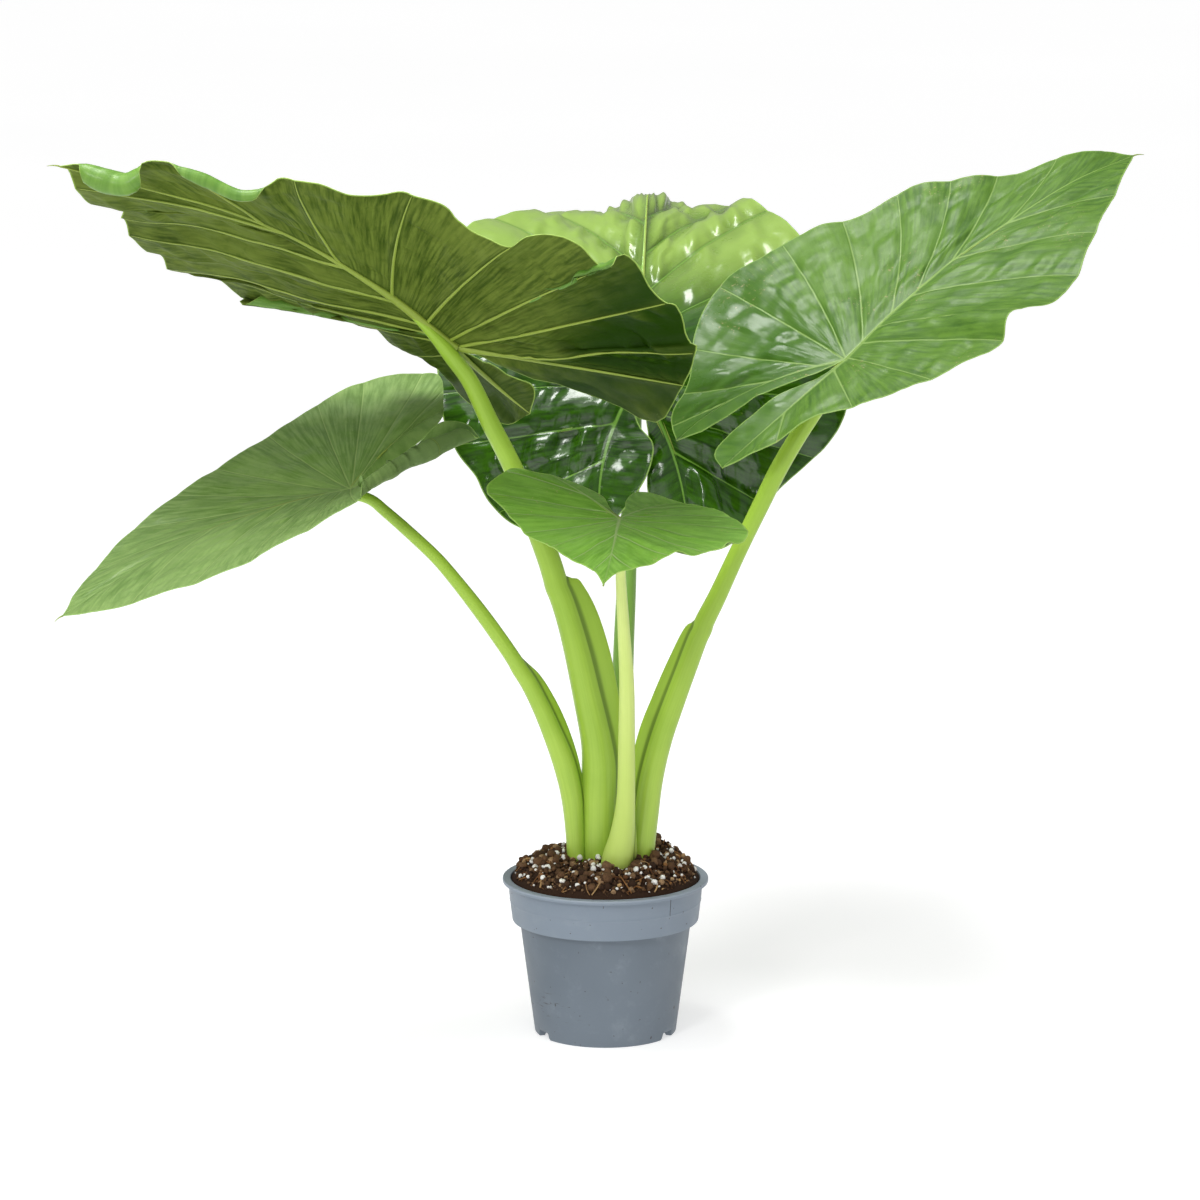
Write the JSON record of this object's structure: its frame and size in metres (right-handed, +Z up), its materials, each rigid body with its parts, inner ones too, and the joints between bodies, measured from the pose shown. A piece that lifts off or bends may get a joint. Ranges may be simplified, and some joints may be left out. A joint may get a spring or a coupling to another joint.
{
  "type": "potted night-scented lily",
  "caption": "Night-scented lily house plant: large arrow-shaped wavy leaves on long sheathed stalks from a short stem, in a full nursery pot of peat soil",
  "frame": {"origin": "middle of the pot's underside, on the flat disc under its centre, level with its foot ring", "axes": "+Z up along the pot's axis, +X toward the large right-hand leaf, -Y toward the front, where the smallest leaf hangs"},
  "size_m": [0.8641, 0.7599, 0.7302],
  "materials": {
    "pot": "matte",
    "soil": "matte",
    "stem_base": "satin",
    "pale_stalk": "satin",
    "stalk": "satin",
    "leaf": "satin"
  },
  "bodies": {
    "root": {"pot": "pot", "soil": "soil", "stem_base": "stem_base", "stalk_front": "pale_stalk", "blade_front": "leaf", "stalk_left_upper": "stalk", "blade_left_upper": "leaf", "stalk_right": "stalk", "blade_right": "leaf", "stalk_left_lower": "stalk", "blade_left_lower": "leaf", "stalk_back": "stalk", "blade_back": "leaf"}
  },
  "joints": []
}
